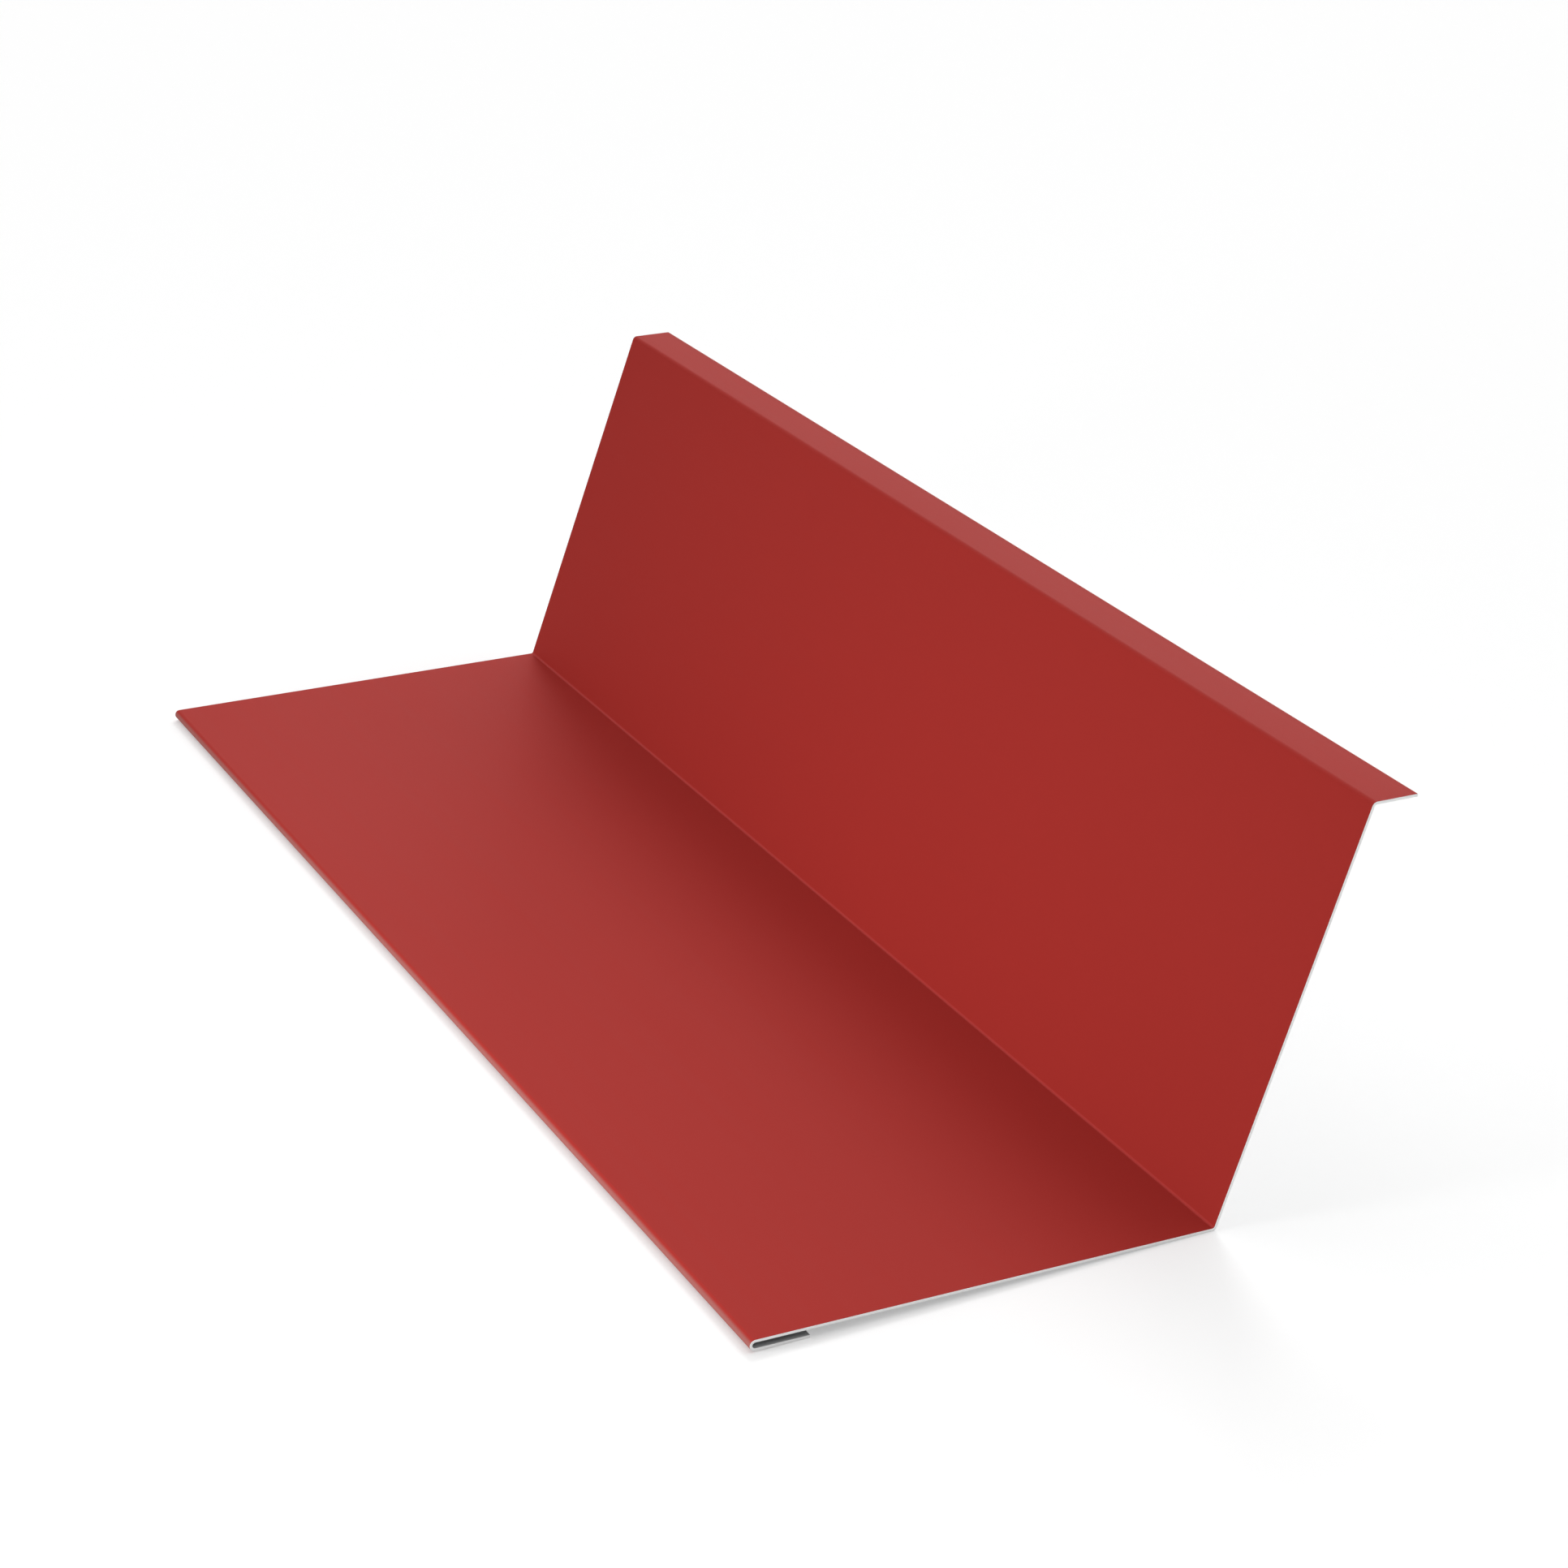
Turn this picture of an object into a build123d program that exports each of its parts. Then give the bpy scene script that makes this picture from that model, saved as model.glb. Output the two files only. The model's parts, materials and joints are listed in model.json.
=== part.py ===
"""Verge flashing: one pre-painted sheet, folded along its length.

The profile runs from an open hem, tucked under the free edge of a broad flange, across the
flange to the valley fold, up an upstand that leans outward, and out along a short top lip.
X goes across the profile, Y along the length, Z up, in millimetres.
"""
from build123d import *
from math import asin, atan2, cos, radians, sin, tan
import os

os.makedirs("parts", exist_ok=True)

# Driving sizes. Widths are taken on the painted face, from fold line to fold line.
length = 700
sheet_thickness = 1.2
flange_width = 200
upstand_width = 180
lip_width = 20
hem_return = 25
hem_gap = 2.4
bend_radius = 1.2
valley_angle = 110
lip_angle = 110

# What the folds do to the painted face. It is inside the valley fold and outside the other two.
valley_turn = 180 - valley_angle
lip_turn = 180 - lip_angle
outer_radius = bend_radius + sheet_thickness
hem_height = hem_gap + 2 * sheet_thickness
hem_radius = hem_height / 2
valley_setback = bend_radius * tan(radians(valley_turn / 2))
lip_setback = outer_radius * tan(radians(lip_turn / 2))

# The flats that are left between the folds.
hem_flat = hem_return - hem_radius
flange_flat = flange_width - hem_radius - valley_setback
upstand_flat = upstand_width - valley_setback - lip_setback
lip_flat = lip_width - lip_setback

# Points of the profile in its own plane: u across the flange, v up from its painted face.
free_edge = Vector(hem_return, -hem_height)
hem_centre = Vector(hem_radius, -hem_radius)
valley_centre = Vector(flange_width - valley_setback, bend_radius)
lip_fold = Vector(flange_width, 0) + Vector(upstand_width, 0).rotate(Axis.Z, valley_turn)
lip_tip = lip_fold + Vector(lip_width, 0).rotate(Axis.Z, valley_turn - lip_turn)

# It lies on two lines: the free edge of the hem, and the round underside of the valley fold.
rest_span = valley_centre - free_edge
rest_pitch = atan2(rest_span.Y, rest_span.X) - asin(outer_radius / rest_span.length)


def across(point):
    """Distance of a profile point along the floor, once the profile lies at its rest pitch."""
    return point.X * cos(rest_pitch) + point.Y * sin(rest_pitch)


def above(point):
    """Height of a profile point, once the profile lies at its rest pitch."""
    return point.Y * cos(rest_pitch) - point.X * sin(rest_pitch)


# The origin is on the floor, under the middle of the whole width and length.
nose_reach = across(hem_centre) - hem_radius
tip_reach = across(lip_tip)
profile_plane = Plane(
    origin=(-(nose_reach + tip_reach) / 2, 0, -above(free_edge)),
    x_dir=(cos(rest_pitch), 0, -sin(rest_pitch)),
    z_dir=(0, -1, 0),
)

# The painted face is drawn as one tangent line and thickened to its unpainted side.
with BuildPart() as flashing:
    with BuildSketch(profile_plane) as section:
        with BuildLine() as painted_face:
            hem = Line(free_edge, free_edge - (hem_flat, 0))
            hem_fold = JernArc(hem @ 1, hem % 1, hem_radius, -180)
            flange = PolarLine(hem_fold @ 1, flange_flat, direction=hem_fold % 1)
            valley_fold = JernArc(flange @ 1, flange % 1, bend_radius, valley_turn)
            upstand = PolarLine(valley_fold @ 1, upstand_flat, direction=valley_fold % 1)
            top_fold = JernArc(upstand @ 1, upstand % 1, outer_radius, -lip_turn)
            lip = PolarLine(top_fold @ 1, lip_flat, direction=top_fold % 1)
            offset(amount=sheet_thickness, side=Side.RIGHT)
        make_face()
    extrude(amount=length / 2, both=True)

flashing.part.label = "flashing"
export_step(flashing.part, "parts/flashing.step")
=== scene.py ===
import json
from math import atan2, pi, radians, tan

import bmesh
import bpy
from mathutils import Euler, Matrix, Vector


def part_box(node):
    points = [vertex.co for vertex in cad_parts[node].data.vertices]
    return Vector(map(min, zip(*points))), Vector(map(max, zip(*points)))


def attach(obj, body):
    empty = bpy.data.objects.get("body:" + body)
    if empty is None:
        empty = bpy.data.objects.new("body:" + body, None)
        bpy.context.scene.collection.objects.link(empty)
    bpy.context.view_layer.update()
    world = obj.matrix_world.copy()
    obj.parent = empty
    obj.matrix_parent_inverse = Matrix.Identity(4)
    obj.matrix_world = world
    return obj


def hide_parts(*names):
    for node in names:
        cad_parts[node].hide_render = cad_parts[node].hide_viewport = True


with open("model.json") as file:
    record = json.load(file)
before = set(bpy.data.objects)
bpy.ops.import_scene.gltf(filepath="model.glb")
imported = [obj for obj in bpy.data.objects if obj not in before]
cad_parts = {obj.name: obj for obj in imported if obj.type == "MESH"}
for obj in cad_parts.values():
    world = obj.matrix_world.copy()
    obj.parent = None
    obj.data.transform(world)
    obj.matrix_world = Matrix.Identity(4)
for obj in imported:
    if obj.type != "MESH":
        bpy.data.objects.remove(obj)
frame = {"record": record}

bl_info = {
    "name": "Verge Flashing",
    "version": (1, 0, 0),
    "blender": (4, 5, 0),
    "location": "View3D > Sidebar > Flashing",
    "description": "Dresses a packed verge flashing as pre-painted sheet and lights it in a plain studio",
    "category": "Object",
}

MM = 0.001
NODE = "flashing"
BODY = "root"
CAD_LOW, CAD_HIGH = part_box(NODE)
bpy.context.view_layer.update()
MOUNTS = {mount["name"]: mount for mount in frame["record"]["mounts"]}
HEM_DOWN = Vector(MOUNTS["hem_seat"]["axis"])
REST_PITCH = atan2(-HEM_DOWN.x, -HEM_DOWN.z)

# Places of the backing and the cut edge in the sheet's materials, counted from the paint.
BACKING, CUT_EDGE = 1, 2

WHITE = (1.0, 1.0, 1.0, 1.0)

# Painted highlights on the folds of the painted face: outside a hard fold, partly the coat drawn pale;
# inside a fold, a pale line where the blade has also rubbed the gloss.
FOLD_HIGHLIGHTS = ("stretch_and_highlight", "rub_and_highlight")

# A fold of more than a right angle gets a painted highlight, partly its coat drawn pale, over this share of
# its turn and a fade each side.
STRETCH_HIGHLIGHT_SHARE = 0.3
STRETCH_HIGHLIGHT_FADE = 0.16


# Settings

class SheetSettings(bpy.types.PropertyGroup):
    """Widths are taken on the painted face, from fold line to fold line."""

    length: bpy.props.FloatProperty(
        name="Length", description="Length of the flashing along its folds",
        default=CAD_HIGH.y - CAD_LOW.y, min=0.05, unit="LENGTH")
    thickness: bpy.props.FloatProperty(
        name="Sheet thickness", description="Thickness of the sheet with its coatings",
        default=1.2 * MM, min=0.3 * MM, unit="LENGTH")
    flange_width: bpy.props.FloatProperty(
        name="Flange width", description="From the hem's nose to the valley fold",
        default=200 * MM, min=30 * MM, unit="LENGTH")
    upstand_width: bpy.props.FloatProperty(
        name="Upstand width", description="From the valley fold to the top fold",
        default=180 * MM, min=20 * MM, unit="LENGTH")
    lip_width: bpy.props.FloatProperty(
        name="Lip width", description="From the top fold to the lip's free edge",
        default=20 * MM, min=5 * MM, unit="LENGTH")
    hem_return: bpy.props.FloatProperty(
        name="Hem return", description="From the hem's nose to the edge that is tucked under",
        default=25 * MM, min=5 * MM, unit="LENGTH")
    hem_gap: bpy.props.FloatProperty(
        name="Hem gap", description="Clear height inside the open hem",
        default=2.4 * MM, min=0.0, unit="LENGTH")
    bend_radius: bpy.props.FloatProperty(
        name="Bend radius", description="Inside radius of the valley and top folds",
        default=1.2 * MM, min=0.2 * MM, unit="LENGTH")
    valley_turn: bpy.props.FloatProperty(
        name="Valley turn", description="How far the upstand is folded up from the flange",
        default=radians(70), subtype="ANGLE")
    lip_turn: bpy.props.FloatProperty(
        name="Lip turn", description="How far the lip is folded back down from the upstand",
        default=radians(70), subtype="ANGLE")
    edge_break: bpy.props.FloatProperty(
        name="Edge break", description="Rounding that shearing leaves on the cut edges",
        default=0.12 * MM, min=0.0, unit="LENGTH")
    fold_step: bpy.props.FloatProperty(
        name="Fold step", description="Turn of one facet of a fold",
        default=radians(10), min=radians(2), subtype="ANGLE")
    rows: bpy.props.IntProperty(
        name="Rows", description="Number of divisions along the length",
        default=28, min=1)


class FinishSettings(bpy.types.PropertyGroup):
    """Colours are linear. Textures are sized in metres over the developed sheet."""

    paint: bpy.props.FloatVectorProperty(
        name="Paint", description="Colour of the satin top coat",
        subtype="COLOR", size=4, default=(0.3669, 0.0276, 0.022, 1.0))
    # Painted highlight along the hem's fold, partly the coat drawn pale there.
    stretch_and_highlight_paint: bpy.props.FloatVectorProperty(
        name="Stretch and highlight paint", description="Colour of the top coat where a hard fold has drawn it pale",
        subtype="COLOR", size=4, default=(0.355, 0.114, 0.102, 1.0))
    # Painted highlight along the valley crease; the blade's rub there only lowers the roughness.
    crease_highlight_paint: bpy.props.FloatVectorProperty(
        name="Crease highlight paint", description="Colour of the top coat where the blade has rubbed a fold",
        subtype="COLOR", size=4, default=(0.408, 0.037, 0.0323, 1.0))
    paint_roughness: bpy.props.FloatProperty(
        name="Paint roughness", description="Roughness of the satin top coat",
        default=0.671, min=0.05, max=1.0, subtype="FACTOR")
    paint_specular: bpy.props.FloatProperty(
        name="Paint specular", description="Strength of the top coat's mirror reflection",
        default=0.049, min=0.0, max=1.0, subtype="FACTOR")
    peel_size: bpy.props.FloatProperty(
        name="Orange peel size", description="Width of one ripple of the rolled coating",
        default=2.2 * MM, min=0.2 * MM, unit="LENGTH")
    peel_depth: bpy.props.FloatProperty(
        name="Orange peel depth", description="Height of the ripples of the rolled coating",
        default=0.004 * MM, min=0.0, unit="LENGTH")
    backing: bpy.props.FloatVectorProperty(
        name="Backing coat", description="Colour of the grey coat on the sheet's back",
        subtype="COLOR", size=4, default=(0.62, 0.625, 0.63, 1.0))
    cut_metal: bpy.props.FloatVectorProperty(
        name="Cut metal", description="Colour of the bare metal on the cut edges",
        subtype="COLOR", size=4, default=(0.92, 0.92, 0.915, 1.0))


class StudioSettings(bpy.types.PropertyGroup):
    """The camera is the photograph's, solved from the edges of the flashing."""

    azimuth: bpy.props.FloatProperty(
        name="Azimuth", description="Heading of the view, from along the length towards the hem",
        default=radians(-25.329), subtype="ANGLE")
    elevation: bpy.props.FloatProperty(
        name="Elevation", description="How far the view looks down",
        default=radians(23.114), subtype="ANGLE")
    roll: bpy.props.FloatProperty(
        name="Roll", description="Turn of the camera about its own axis",
        default=radians(-0.879), subtype="ANGLE")
    aim: bpy.props.FloatVectorProperty(
        name="Aim", description="Point at the middle of the picture",
        subtype="TRANSLATION", size=3, default=(0.04373, 0.00633, 0.05723))
    distance: bpy.props.FloatProperty(
        name="Distance", description="From the camera to the point that it aims at",
        default=1.783, min=0.1, unit="LENGTH")
    lens: bpy.props.FloatProperty(
        name="Lens", description="Focal length on a sensor 36 mm wide",
        default=89.21, min=10.0, unit="CAMERA")
    floor_colour: bpy.props.FloatVectorProperty(
        name="Floor", description="Colour of the floor",
        subtype="COLOR", size=4, default=(0.6, 0.6, 0.6, 1.0))
    floor_radius: bpy.props.FloatProperty(
        name="Floor radius", description="Radius of the round floor",
        default=9.0, min=1.0, unit="LENGTH")
    dome_level: bpy.props.FloatProperty(
        name="Dome level", description="Brightest part of the dome of light, as a share of full white",
        default=1.445, min=0.0, soft_max=2.0)
    dome_azimuth: bpy.props.FloatProperty(
        name="Dome azimuth", description="Heading that the brightest part of the dome shines along",
        default=radians(135.9), subtype="ANGLE")
    dome_elevation: bpy.props.FloatProperty(
        name="Dome elevation", description="Height of the brightest part of the dome",
        default=radians(50.2), subtype="ANGLE")
    key_level: bpy.props.FloatProperty(
        name="Key level", description="Soft key light from behind the upstand, as a share of full white",
        default=0.312, min=0.0, soft_max=1.0)
    key_azimuth: bpy.props.FloatProperty(
        name="Key azimuth", description="Heading that the key light shines along",
        default=radians(146.7), subtype="ANGLE")
    key_elevation: bpy.props.FloatProperty(
        name="Key elevation", description="Height of the key light",
        default=radians(36.9), subtype="ANGLE")
    key_width: bpy.props.FloatProperty(
        name="Key width", description="Angular width of the key light",
        default=radians(15.0), subtype="ANGLE")
    end_level: bpy.props.FloatProperty(
        name="End level", description="Low soft light from past the far end, as a share of full white",
        default=0.216, min=0.0, soft_max=1.0)
    end_azimuth: bpy.props.FloatProperty(
        name="End azimuth", description="Heading that the end light shines along",
        default=radians(140.9), subtype="ANGLE")
    end_elevation: bpy.props.FloatProperty(
        name="End elevation", description="Height of the end light",
        default=radians(5.1), subtype="ANGLE")
    end_width: bpy.props.FloatProperty(
        name="End width", description="Angular width of the end light",
        default=radians(25.9), subtype="ANGLE")
    side_level: bpy.props.FloatProperty(
        name="Side level", description="Low near light from the hem's side, as a share of full white",
        default=0.703, min=0.0, soft_max=1.0)
    side_azimuth: bpy.props.FloatProperty(
        name="Side azimuth", description="Heading that the side light shines along",
        default=radians(-77.1), subtype="ANGLE")
    side_elevation: bpy.props.FloatProperty(
        name="Side elevation", description="Height of the side light",
        default=radians(2.9), subtype="ANGLE")
    side_distance: bpy.props.FloatProperty(
        name="Side distance", description="From the side light to the middle of the flashing",
        default=0.837, min=0.3, unit="LENGTH")
    side_radius: bpy.props.FloatProperty(
        name="Side radius", description="Radius of the side light's round face",
        default=0.119, min=0.01, unit="LENGTH")


# Shader maths

class Value:
    """A node's output. Arithmetic on it adds Math nodes to its graph."""

    def __init__(self, graph, socket):
        self.graph = graph
        self.socket = socket

    def other(self, name):
        """Another output of the same node."""
        return Value(self.graph, self.socket.node.outputs[name])

    def combine(self, operation, *terms):
        return self.graph.node("ShaderNodeMath", {"operation": operation}, dict(enumerate(terms)))

    def __add__(self, other):
        return self.combine("ADD", self, other)

    def __sub__(self, other):
        return self.combine("SUBTRACT", self, other)

    def __mul__(self, other):
        return self.combine("MULTIPLY", self, other)


class Graph:
    """The node tree of one material or world, emptied and ready to be built."""

    def __init__(self, owner):
        owner.use_nodes = True
        self.tree = owner.node_tree
        self.tree.nodes.clear()

    def node(self, kind, settings=None, inputs=None, output=0):
        """Adds a node, sets it up, fills its sockets with values or links, and returns one output."""
        made = self.tree.nodes.new(kind)
        for name, setting in (settings or {}).items():
            setattr(made, name, setting)
        for key, term in (inputs or {}).items():
            if isinstance(term, Value):
                self.tree.links.new(term.socket, made.inputs[key])
            else:
                made.inputs[key].default_value = term
        if len(made.outputs):
            return Value(self, made.outputs[output])

    def stretched(self, vector, scale):
        """A vector scaled along each of its axes."""
        return self.node("ShaderNodeVectorMath", {"operation": "MULTIPLY"}, {0: vector, 1: scale})

    def noise(self, vector, size, detail=2.0, roughness=0.5):
        """Smooth noise from about 0.3 to 0.7, with features of a size given in metres."""
        sockets = {"Vector": vector, "Scale": 1 / size, "Detail": detail, "Roughness": roughness}
        return self.node("ShaderNodeTexNoise", {"noise_dimensions": "3D"}, sockets)

    def mixed(self, factor, low, high):
        """A colour between two colours."""
        sockets = {"Factor": factor, 6: low, 7: high}
        return self.node("ShaderNodeMix", {"data_type": "RGBA", "clamp_factor": True}, sockets, output=2)

    def bump(self, height, depth, normal=None):
        """A normal that follows a height of 0 to 1, drawn as that many metres."""
        sockets = {"Height": height, "Distance": depth, "Strength": 1.0}
        if normal:
            sockets["Normal"] = normal
        return self.node("ShaderNodeBump", inputs=sockets)

    def surface(self, **sockets):
        """A Principled BSDF wired to the output. Socket names are written with underscores."""
        named = {name.replace("_", " "): term for name, term in sockets.items()}
        shader = self.node("ShaderNodeBsdfPrincipled", inputs=named)
        self.node("ShaderNodeOutputMaterial", inputs={"Surface": shader})


def shade(colour, factor):
    """A colour made lighter or darker, with its alpha kept."""
    return [channel * factor for channel in colour[:3]] + [1.0]


# Finishes

def developed(graph):
    """Place on the unfolded sheet in metres: across the profile, then along the length."""
    return graph.node("ShaderNodeUVMap", {"uv_map": "developed"})


def top_coat(finish):
    """Satin coil coating: faint roller streaks, orange peel, fine tooth, and painted highlights on the
    folds, partly coat drawn pale.
    """
    material = bpy.data.materials.new("satin_top_coat")
    graph = Graph(material)
    sheet = developed(graph)
    clouds = graph.noise(sheet, 0.16, detail=3.0)
    streaks = graph.noise(graph.stretched(sheet, (1.0, 0.02, 1.0)), 5 * MM, detail=3.0)
    peel = graph.noise(sheet, finish.peel_size, detail=1.0)
    tooth = graph.noise(sheet, 0.35 * MM, detail=2.0)
    # Masks of the painted highlights on the hem's fold and in the valley crease.
    stretch_and_highlight = graph.node("ShaderNodeAttribute", {"attribute_name": "stretch_and_highlight"}, output="Fac")
    rub_and_highlight = graph.node("ShaderNodeAttribute", {"attribute_name": "rub_and_highlight"}, output="Fac")
    tone = clouds * 0.6 + streaks * 0.4
    paint = graph.mixed(tone, shade(finish.paint, 0.965), shade(finish.paint, 1.035))
    # Lightens the paint into the painted highlights on the folds.
    paint = graph.mixed(stretch_and_highlight, paint, finish.stretch_and_highlight_paint)
    paint = graph.mixed(rub_and_highlight, paint, finish.crease_highlight_paint)
    fine = (streaks - 0.5) * 0.08 + (tooth - 0.5) * 0.06
    gloss = fine + stretch_and_highlight * 0.05 + finish.paint_roughness - rub_and_highlight * 0.2
    relief = graph.bump(peel, finish.peel_depth)
    relief = graph.bump(tooth, 0.0008 * MM, normal=relief)
    graph.surface(
        Base_Color=paint, Roughness=gloss, Specular_IOR_Level=finish.paint_specular, Normal=relief)
    return material


def backing_coat(finish):
    """Thin grey backing coat, rolled on: broad bands, thin clouds and the sheet's rolling lines."""
    material = bpy.data.materials.new("grey_backing_coat")
    graph = Graph(material)
    sheet = developed(graph)
    clouds = graph.noise(sheet, 0.07, detail=5.0, roughness=0.6)
    bands = graph.noise(graph.stretched(sheet, (1.0, 0.03, 1.0)), 24 * MM, detail=2.0)
    lines = graph.noise(graph.stretched(sheet, (1.0, 0.012, 1.0)), 2.4 * MM, detail=4.0)
    tooth = graph.noise(sheet, 0.5 * MM, detail=2.0)
    tone = clouds * 0.4 + bands * 0.35 + lines * 0.25
    colour = graph.mixed((tone - 0.5) * 2.2 + 0.5, shade(finish.backing, 0.86), shade(finish.backing, 1.12))
    gloss = (lines - 0.5) * 0.16 + (clouds - 0.5) * 0.2 + 0.5
    relief = graph.bump(lines, 0.003 * MM)
    relief = graph.bump(tooth, 0.002 * MM, normal=relief)
    graph.surface(Base_Color=colour, Roughness=gloss, Specular_IOR_Level=0.35, Normal=relief)
    return material


def cut_edge_metal(finish):
    """Sheared metal: bright, grained by the blade across the thickness."""
    material = bpy.data.materials.new("sheared_edge")
    graph = Graph(material)
    place = graph.node("ShaderNodeTexCoord", output="Object")
    grain = graph.noise(place, 0.25 * MM, detail=3.0, roughness=0.6)
    patches = graph.noise(place, 3.0 * MM, detail=2.0)
    tone = grain * 0.6 + patches * 0.4
    colour = graph.mixed(tone, shade(finish.cut_metal, 0.9), shade(finish.cut_metal, 1.06))
    gloss = (grain - 0.5) * 0.25 + 0.45
    relief = graph.bump(grain, 0.012 * MM)
    graph.surface(Base_Color=colour, Roughness=gloss, Metallic=0.6, Normal=relief)
    return material


# The folded sheet

def run(mesh, last, heading, distance):
    """Draws a straight stretch of the profile from its last vertex."""
    made = bmesh.ops.extrude_vert_indiv(mesh, verts=[last])["verts"]
    bmesh.ops.translate(mesh, verts=made, vec=heading * distance)
    return made[0]


def fold(mesh, last, heading, radius, turn, step):
    """Draws a fold of the profile from its last vertex: turn is positive where the profile rises."""
    side = Vector((-heading.z, 0.0, heading.x)) * (1 if turn > 0 else -1)
    centre = last.co + side * radius
    steps = max(2, round(abs(turn) / step))
    drawn = set(mesh.verts)
    made = bmesh.ops.spin(
        mesh, geom=[last], cent=centre, axis=(0, -1, 0), angle=turn, steps=steps, use_duplicate=False)
    end = [item for item in made["geom_last"] if isinstance(item, bmesh.types.BMVert)][0]
    # Writes the masks of the painted highlights: on a fold past a right angle, partly coat drawn pale; on a
    # fold that rises, the valley crease.
    stretch_and_highlight, rub_and_highlight = (mesh.verts.layers.float[name] for name in FOLD_HIGHLIGHTS)
    stretch_and_highlight_weight = max(0.0, 2 * abs(turn) / pi - 1)
    for vert in set(mesh.verts) - drawn:
        off_middle = abs((vert.co - centre).angle(last.co - centre) / abs(turn) - 0.5)
        within = (STRETCH_HIGHLIGHT_SHARE / 2 + STRETCH_HIGHLIGHT_FADE - off_middle) / STRETCH_HIGHLIGHT_FADE
        vert[stretch_and_highlight] = stretch_and_highlight_weight * min(max(within, 0.0), 1.0)
        vert[rub_and_highlight] = float(turn > 0 and vert is not end)
    return end, Matrix.Rotation(turn, 3, (0, -1, 0)) @ heading


def profile_order(start):
    """The profile's vertices in order, from the hem's tucked edge to the edge of the lip."""
    order, edge = [start], None
    while True:
        onward = [link for link in order[-1].link_edges if link is not edge]
        if not onward:
            return order
        edge = onward[0]
        order.append(edge.other_vert(order[-1]))


def draw_profile(mesh, sizes):
    """Draws the painted face's line as the sheet is folded, hem first, with the flange level."""
    outer = sizes.bend_radius + sizes.thickness
    hem_radius = sizes.hem_gap / 2 + sizes.thickness
    valley_setback = sizes.bend_radius * tan(sizes.valley_turn / 2)
    lip_setback = outer * tan(sizes.lip_turn / 2)
    heading = Vector((-1, 0, 0))
    start = mesh.verts.new((sizes.hem_return, -sizes.length / 2, -2 * hem_radius))
    last = run(mesh, start, heading, sizes.hem_return - hem_radius)
    last, heading = fold(mesh, last, heading, hem_radius, -pi, sizes.fold_step)
    last = run(mesh, last, heading, sizes.flange_width - hem_radius - valley_setback)
    last, heading = fold(mesh, last, heading, sizes.bend_radius, sizes.valley_turn, sizes.fold_step)
    last = run(mesh, last, heading, sizes.upstand_width - valley_setback - lip_setback)
    last, heading = fold(mesh, last, heading, outer, -sizes.lip_turn, sizes.fold_step)
    run(mesh, last, heading, sizes.lip_width - lip_setback)
    return start


def measure_profile(order, across):
    """Writes on each vertex of the profile how far across the unfolded sheet it is."""
    distance = 0.0
    for before, vert in zip(order, order[1:]):
        distance += (vert.co - before.co).length
        vert[across] = distance


def draw_sheet(mesh, sizes):
    """Draws the profile along the length, and lays the unfolded sheet out as a UV map in metres."""
    for name in FOLD_HIGHLIGHTS:
        mesh.verts.layers.float.new(name)
    across = mesh.verts.layers.float.new("across")
    unfolded = mesh.loops.layers.uv.new("developed")
    measure_profile(profile_order(draw_profile(mesh, sizes)), across)
    bmesh.ops.spin(
        mesh, geom=list(mesh.verts) + list(mesh.edges), axis=(0, 1, 0),
        dvec=(0, sizes.length / sizes.rows, 0), angle=0.0, steps=sizes.rows, use_duplicate=False)
    for face in mesh.faces:
        for loop in face.loops:
            loop[unfolded].uv = (loop.vert[across], loop.vert.co.y)


def lay_down(mesh):
    """Tips the sheet to its rest pitch and sets it in the CAD node's box, which holds its thickness."""
    bmesh.ops.rotate(mesh, verts=mesh.verts, cent=(0, 0, 0), matrix=Matrix.Rotation(REST_PITCH, 3, "Y"))
    low = Vector([min(vert.co[axis] for vert in mesh.verts) for axis in range(3)])
    bmesh.ops.translate(mesh, verts=mesh.verts, vec=Vector((CAD_LOW.x, CAD_LOW.y, CAD_LOW.z)) - low)


def paint_faces_out(mesh):
    """Turns the faces so that the painted side is out: up, on the flange."""
    bmesh.ops.recalc_face_normals(mesh, faces=mesh.faces)
    broad = max(mesh.faces, key=lambda face: face.calc_area())
    if broad.normal.z < 0:
        bmesh.ops.reverse_faces(mesh, faces=mesh.faces)


class FLASHING_OT_sheet(bpy.types.Operator):
    """Fold the pre-painted sheet and coat it"""

    bl_idname = "flashing.sheet"
    bl_label = "Fold Sheet"

    def execute(self, context):
        sizes = context.scene.flashing_sheet
        finish = context.scene.flashing_finish
        mesh = bmesh.new()
        draw_sheet(mesh, sizes)
        paint_faces_out(mesh)
        lay_down(mesh)
        for face in mesh.faces:
            face.smooth = True
        data = bpy.data.meshes.new("folded_sheet")
        mesh.to_mesh(data)
        mesh.free()
        for material in (top_coat(finish), backing_coat(finish), cut_edge_metal(finish)):
            data.materials.append(material)
        sheet = bpy.data.objects.new("folded_sheet", data)
        context.scene.collection.objects.link(sheet)
        wall = sheet.modifiers.new("thickness", "SOLIDIFY")
        wall.thickness = sizes.thickness
        wall.offset = -1
        wall.use_even_offset = True
        wall.material_offset = BACKING
        wall.material_offset_rim = CUT_EDGE
        edges = sheet.modifiers.new("edge_break", "BEVEL")
        edges.width = sizes.edge_break
        edges.segments = 2
        edges.limit_method = "ANGLE"
        edges.angle_limit = radians(60)
        normals = sheet.modifiers.new("flat_faces", "WEIGHTED_NORMAL")
        normals.weight = 100
        normals.keep_sharp = True
        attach(sheet, BODY)
        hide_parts(NODE)
        return {"FINISHED"}


# The studio

def view_turn(azimuth, elevation, roll=0.0):
    """The turn of a camera or lamp that looks down by elevation, on a heading from +Y towards -X."""
    level = Euler((pi / 2 - elevation, 0.0, azimuth)).to_matrix()
    return level @ Matrix.Rotation(roll, 3, "Z")


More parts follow.
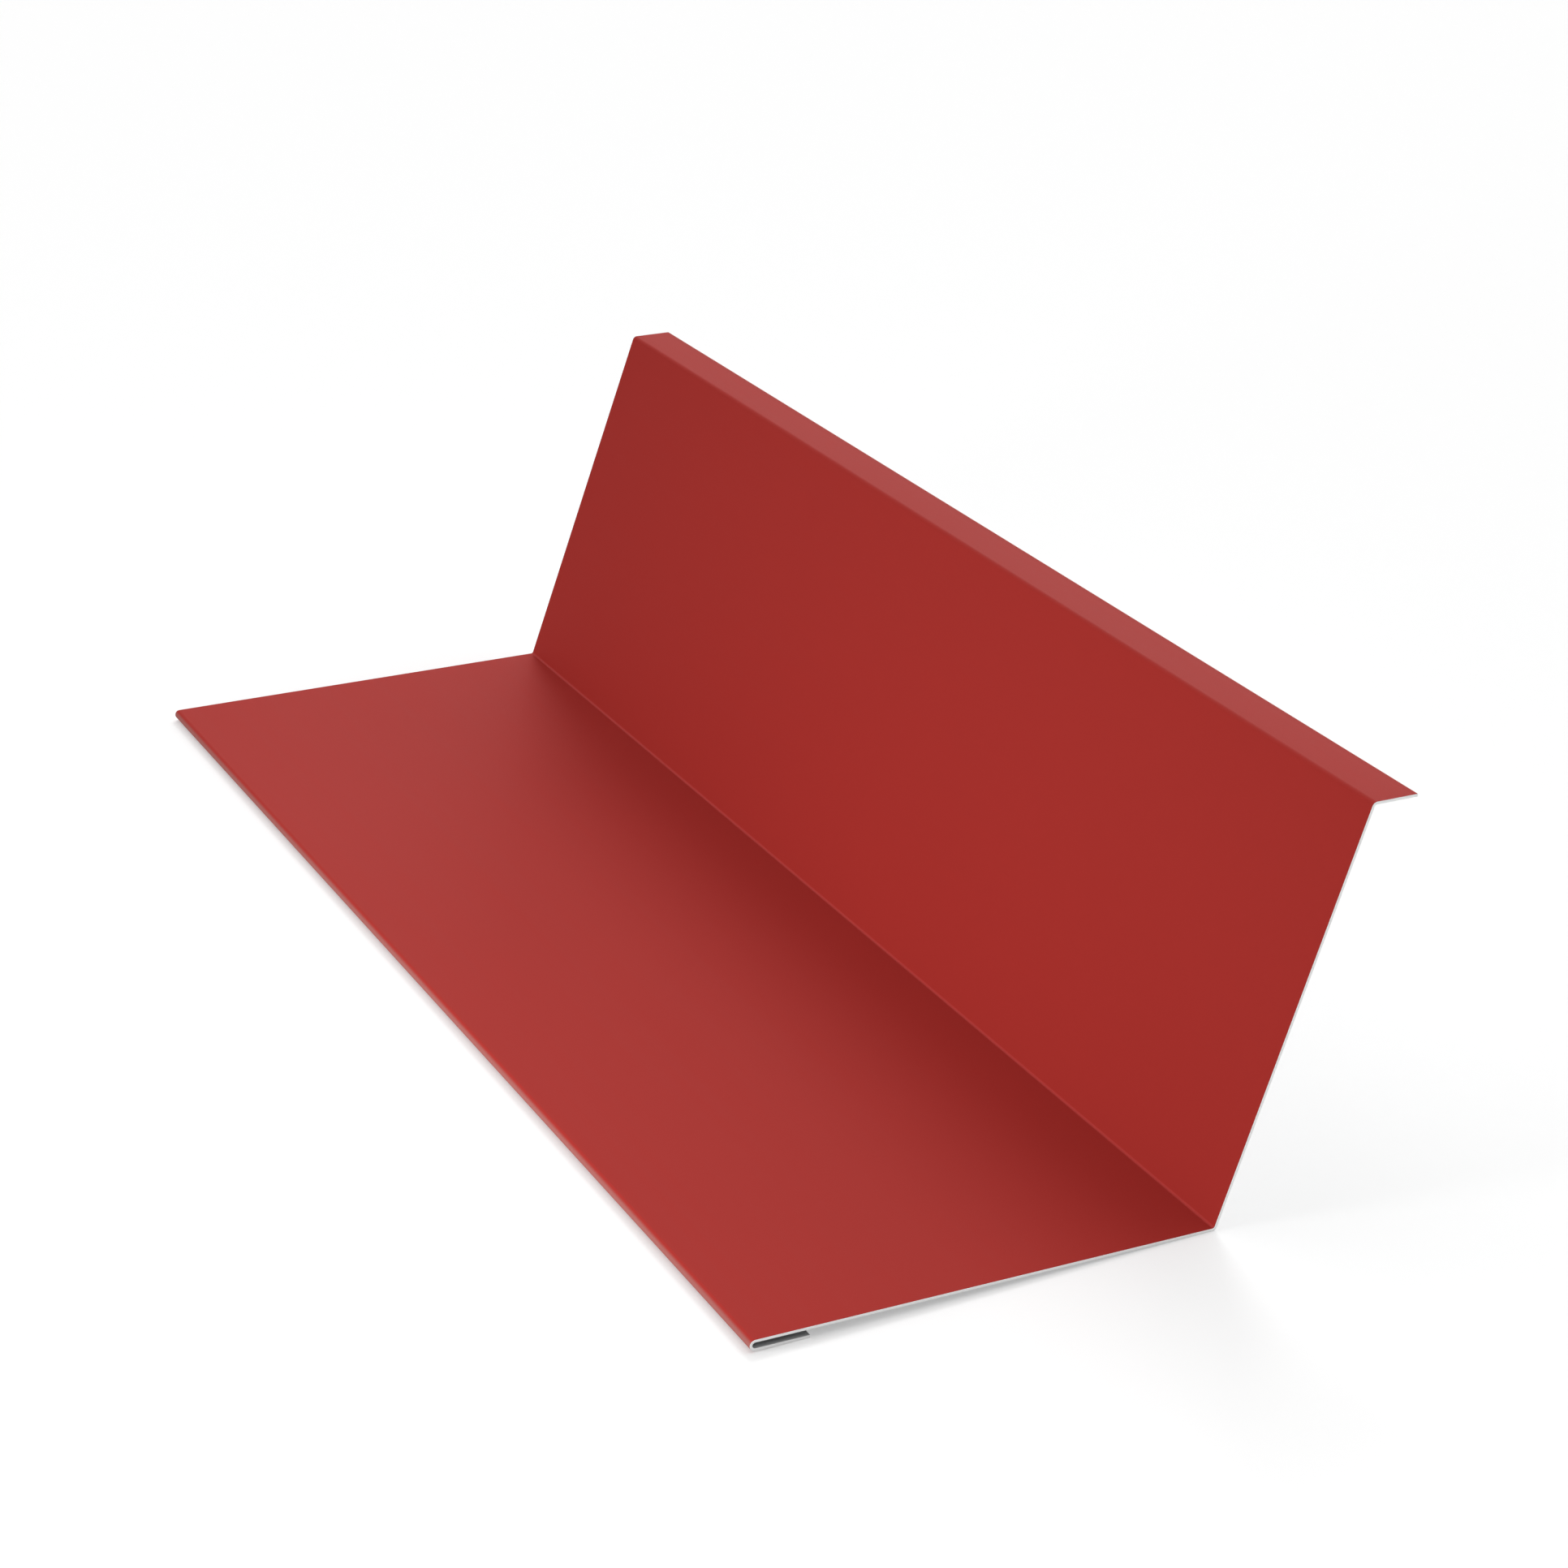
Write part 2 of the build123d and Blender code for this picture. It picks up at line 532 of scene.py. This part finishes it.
def standing_off(aim, distance, turn):
    """The placing of a camera or lamp that is turned so, at a distance from the point it aims at."""
    return Matrix.Translation(Vector(aim) + turn @ Vector((0, 0, distance))) @ turn.to_4x4()


def backdrop_rays(graph):
    """One for rays that see the backdrop itself: from the camera, in a gloss, or through glass."""
    rays = graph.node("ShaderNodeLightPath")
    camera, glossy, transmission = (rays.other(name) for name in (
        "Is Camera Ray", "Is Glossy Ray", "Is Transmission Ray"))
    return camera.combine("MAXIMUM", camera.combine("MAXIMUM", camera, glossy), transmission)


def floor_finish(studio):
    """Matt pale floor that lifts itself to white where nothing shades it."""
    material = bpy.data.materials.new("pale_floor")
    graph = Graph(material)
    place = graph.node("ShaderNodeTexCoord", output="Object")
    mottle = graph.noise(place, 0.02, detail=4.0)
    colour = graph.mixed(mottle, shade(studio.floor_colour, 0.995), shade(studio.floor_colour, 1.005))
    relief = graph.bump(mottle, 0.02 * MM)
    lift = 1.0 - studio.floor_colour[0]
    glow = graph.mixed(backdrop_rays(graph), (0, 0, 0, 1), (lift, lift, lift, 1))
    graph.surface(Base_Color=colour, Roughness=0.9, Specular_IOR_Level=0.0, Normal=relief,
                  Emission_Color=glow, Emission_Strength=1.0)
    return material


def build_floor(scene, studio):
    """A broad round floor under the flashing."""
    mesh = bmesh.new()
    bmesh.ops.create_circle(mesh, cap_ends=True, segments=96, radius=studio.floor_radius)
    data = bpy.data.meshes.new("floor")
    mesh.to_mesh(data)
    mesh.free()
    data.materials.append(floor_finish(studio))
    floor = bpy.data.objects.new("floor", data)
    scene.collection.objects.link(floor)


def light_world(scene, studio):
    """A dome of light that fades evenly from its brightest part, behind a white backdrop."""
    world = bpy.data.worlds.new("studio")
    scene.world = world
    graph = Graph(world)
    brightest = view_turn(studio.dome_azimuth, studio.dome_elevation) @ Vector((0, 0, 1))
    heading = graph.node("ShaderNodeTexCoord", output="Generated")
    nearness = graph.node(
        "ShaderNodeVectorMath", {"operation": "DOT_PRODUCT"}, {0: heading, 1: brightest}, output="Value")
    level = nearness.combine("MAXIMUM", nearness * studio.dome_level, 0.0)
    dome = graph.node("ShaderNodeBackground", inputs={"Color": WHITE, "Strength": level})
    backdrop = graph.node("ShaderNodeBackground", inputs={"Color": WHITE, "Strength": 1.0})
    shader = graph.node("ShaderNodeMixShader", inputs={0: backdrop_rays(graph), 1: dome, 2: backdrop})
    graph.node("ShaderNodeOutputWorld", inputs={"Surface": shader})


def hang_distant_light(scene, name, level, azimuth, elevation, width):
    """A soft distant light. Its level is what it lends to a white face square to it."""
    lamp = bpy.data.lights.new(name, "SUN")
    lamp.energy = pi * level
    lamp.angle = width
    light = bpy.data.objects.new(name, lamp)
    light.matrix_world = view_turn(azimuth, elevation).to_4x4()
    scene.collection.objects.link(light)


def hang_side_light(scene, studio):
    """A round soft light beside the hem. Its level is what it lends, mid-sheet, to a white face."""
    lamp = bpy.data.lights.new("side", "AREA")
    lamp.shape = "DISK"
    lamp.size = 2 * studio.side_radius
    lamp.energy = (pi * studio.side_distance) ** 2 * studio.side_level
    side = bpy.data.objects.new("side", lamp)
    turn = view_turn(studio.side_azimuth, studio.side_elevation)
    side.matrix_world = standing_off((CAD_LOW + CAD_HIGH) / 2, studio.side_distance, turn)
    side.visible_camera = False
    scene.collection.objects.link(side)


def set_camera(scene, studio):
    """The camera, a straight distance from the point that it aims at."""
    optics = bpy.data.cameras.new("camera")
    optics.lens = studio.lens
    optics.sensor_width = 36.0
    camera = bpy.data.objects.new("camera", optics)
    turn = view_turn(studio.azimuth, studio.elevation, studio.roll)
    camera.matrix_world = standing_off(studio.aim, studio.distance, turn)
    scene.collection.objects.link(camera)
    scene.camera = camera


class FLASHING_OT_studio(bpy.types.Operator):
    """Lay the floor, light it and set the camera"""

    bl_idname = "flashing.studio"
    bl_label = "Set Studio"

    def execute(self, context):
        scene = context.scene
        studio = scene.flashing_studio
        scene.view_settings.view_transform = "Standard"
        build_floor(scene, studio)
        light_world(scene, studio)
        hang_distant_light(
            scene, "key", studio.key_level, studio.key_azimuth, studio.key_elevation, studio.key_width)
        hang_distant_light(
            scene, "end", studio.end_level, studio.end_azimuth, studio.end_elevation, studio.end_width)
        hang_side_light(scene, studio)
        set_camera(scene, studio)
        return {"FINISHED"}


class FLASHING_PT_panel(bpy.types.Panel):
    """Steps that dress the flashing, in order"""

    bl_idname = "FLASHING_PT_panel"
    bl_label = "Flashing"
    bl_space_type = "VIEW_3D"
    bl_region_type = "UI"
    bl_category = "Flashing"

    def draw(self, context):
        for step in STEPS:
            self.layout.operator(step.bl_idname)


STEPS = (FLASHING_OT_sheet, FLASHING_OT_studio)
CLASSES = (SheetSettings, FinishSettings, StudioSettings, *STEPS, FLASHING_PT_panel)


def register():
    for item in CLASSES:
        bpy.utils.register_class(item)
    bpy.types.Scene.flashing_sheet = bpy.props.PointerProperty(type=SheetSettings)
    bpy.types.Scene.flashing_finish = bpy.props.PointerProperty(type=FinishSettings)
    bpy.types.Scene.flashing_studio = bpy.props.PointerProperty(type=StudioSettings)


def unregister():
    del bpy.types.Scene.flashing_sheet
    del bpy.types.Scene.flashing_finish
    del bpy.types.Scene.flashing_studio
    for item in reversed(CLASSES):
        bpy.utils.unregister_class(item)


def main():
    register()
    bpy.ops.flashing.sheet()
    bpy.ops.flashing.studio()


if __name__ == "__main__":
    main()
